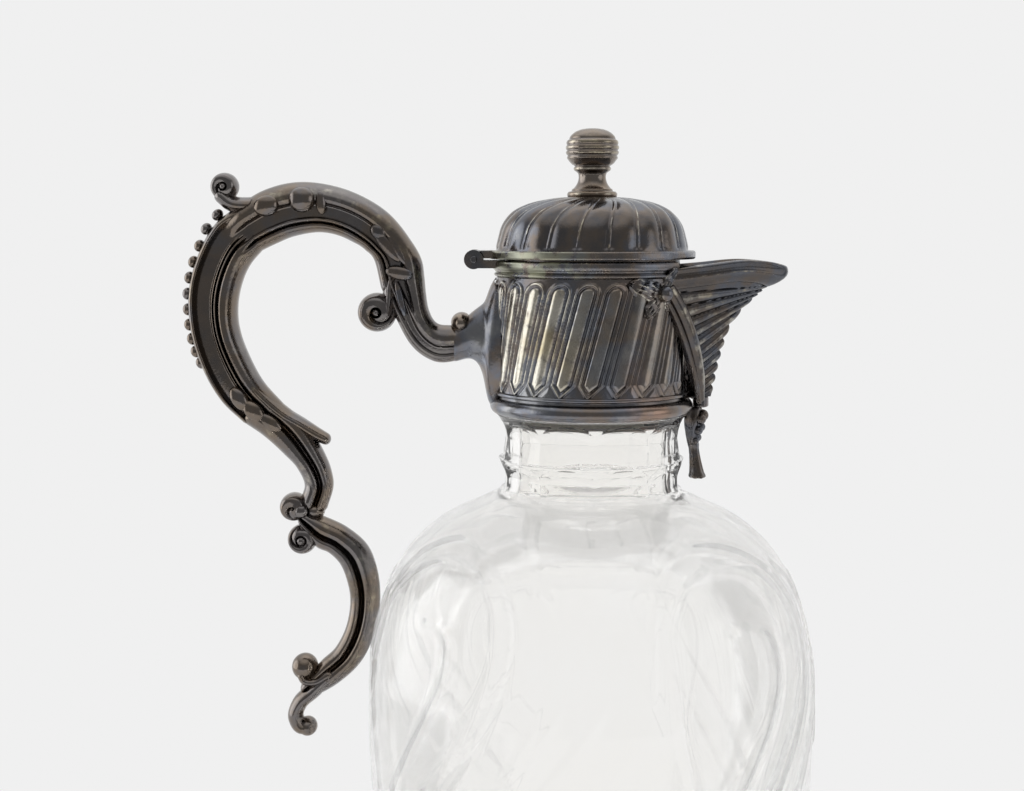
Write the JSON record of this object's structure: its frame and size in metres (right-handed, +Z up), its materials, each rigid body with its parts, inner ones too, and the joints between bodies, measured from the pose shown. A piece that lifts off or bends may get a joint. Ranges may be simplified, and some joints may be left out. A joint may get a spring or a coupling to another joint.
{
  "type": "claret jug",
  "caption": "Cut glass claret jug with a reeded metal collar, ribbed pouring spout, scroll handle and hinged domed lid with a ball finial.",
  "frame": {"origin": "centre of the flat foot, on the vessel's axis", "axes": "+Z up along the vessel's axis, +X towards the spout, handle at -X"},
  "size_m": [0.1788, 0.1272, 0.2678],
  "materials": {
    "cut_glass": "clear cut crystal, polished facets",
    "plaster": "matt plaster",
    "fastener_brass": "dull turned brass",
    "handle_silver": "cast, silver plated, dark tarnish in the hollows, worn pale edges",
    "reeded_silver": "silver plated, polished reeds with dark tarnish between",
    "drop_silver": "silver plate worn towards copper",
    "lid_silver": "silver plated, blue-black tarnish, worn ridges",
    "spout_silver": "silver plated, dark tarnish between worn ribs",
    "mount_silver": "silver plated, greenish tarnish"
  },
  "bodies": {
    "jug": {"bow_knot_back": "spout_silver", "bow_knot_front": "spout_silver", "collar_base_bead": "mount_silver", "collar_lower_wire": "mount_silver", "collar_sleeve": "reeded_silver", "collar_top_rim": "mount_silver", "collar_upper_wire": "mount_silver", "drop_berries": "drop_silver", "drop_husk": "drop_silver", "drop_tail": "drop_silver", "glass_vessel": "cut_glass", "handle_arm_collar": "handle_silver", "handle_beads": "handle_silver", "handle_grip": "handle_silver", "handle_grip_liner": "handle_silver", "handle_inner_volute": "handle_silver", "handle_lower_leaf": "handle_silver", "handle_lower_scroll": "handle_silver", "handle_lower_volute": "handle_silver", "handle_neck_arm": "handle_silver", "handle_socket": "handle_silver", "handle_socket_boss": "handle_silver", "handle_tail_scroll": "handle_silver", "handle_tail_tip": "handle_silver", "handle_thumb_scroll": "handle_silver", "handle_top_leaf": "handle_silver", "handle_upper_arm": "handle_silver", "hinge_lower_leaf": "mount_silver", "hinge_pin": "fastener_brass", "plaster_bed": "plaster", "ribbon_clasp": "drop_silver", "ribbon_strap_back": "spout_silver", "ribbon_strap_front": "spout_silver", "spout_lip_moulding": "spout_silver", "spout_shell": "spout_silver"},
    "lid": {"lid_dome": "lid_silver", "lid_rim": "lid_silver", "lid_bezel": "lid_silver", "hinge_upper_leaf": "mount_silver", "finial": "lid_silver", "finial_stud": "fastener_brass", "finial_washer": "fastener_brass", "finial_nut": "fastener_brass"}
  },
  "joints": [
    {"name": "lid_hinge", "type": "hinge", "parent": "jug", "child": "lid", "pos_m": [-0.033, 0, 0.2316], "axis": [0, -1, 0], "range_deg": [0, 95]}
  ]
}
